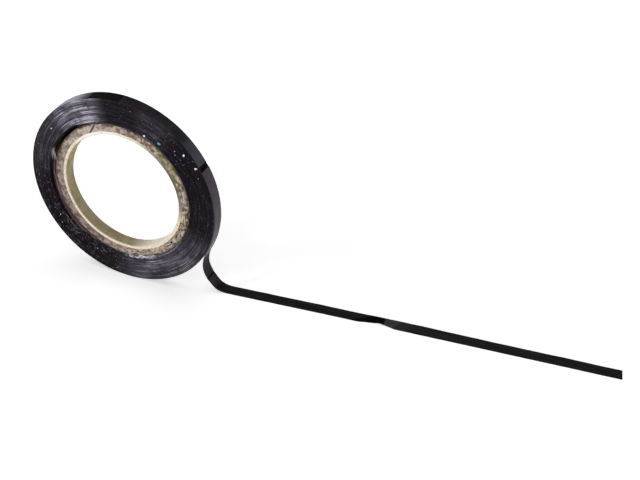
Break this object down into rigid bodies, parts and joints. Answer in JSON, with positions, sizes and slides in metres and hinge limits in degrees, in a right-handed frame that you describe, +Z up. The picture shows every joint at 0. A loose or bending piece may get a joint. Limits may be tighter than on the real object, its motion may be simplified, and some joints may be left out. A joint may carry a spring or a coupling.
{
  "type": "foil tape roll",
  "caption": "Narrow roll of dark foil tape on a paperboard core, standing on its rim with its free end drawn off and lying flat.",
  "frame": {"origin": "centre of the core's bore, at mid width", "axes": "+Y along the bore, +Z up with the roll standing on its rim at z = -62 mm, +X the way the free tape runs"},
  "size_m": [0.3644, 0.0402, 0.124],
  "materials": {
    "facing_paper": "matt, burnished at the lip",
    "board": "matt, speckled, cut edge",
    "wrap_paper": "matt",
    "loose_turns": "satin, edge on",
    "wound_turns": "satin, edge on, in fine layers",
    "foil": "black satin",
    "liner": "matt, dark release paper"
  },
  "bodies": {
    "tape_bend": {"liner_bend": "liner", "foil_bend": "foil"},
    "roll": {"core_inner_ply": "facing_paper", "core_board": "board", "core_outer_ply": "wrap_paper", "inner_wraps": "loose_turns", "wound_tape": "wound_turns", "outer_wrap": "foil"},
    "tape_run": {"liner_run": "liner", "foil_run": "foil"},
    "foil_end": {"foil_tip": "foil"}
  },
  "joints": [
    {"name": "roll_spin", "type": "hinge", "parent": "tape_bend", "child": "roll", "pos_m": [0, 0, 0], "axis": [0, 1, 0], "continuous": true},
    {"name": "tape_lift", "type": "hinge", "parent": "tape_bend", "child": "tape_run", "pos_m": [0.066, 0.0094, -0.0618], "axis": [0.108, -0.9941, 0], "range_deg": [0, 80]},
    {"name": "foil_peel", "type": "hinge", "parent": "tape_run", "child": "foil_end", "pos_m": [0.2721, 0.0293, -0.0618], "axis": [0.09, -0.9959, 0], "range_deg": [0, 150]}
  ]
}
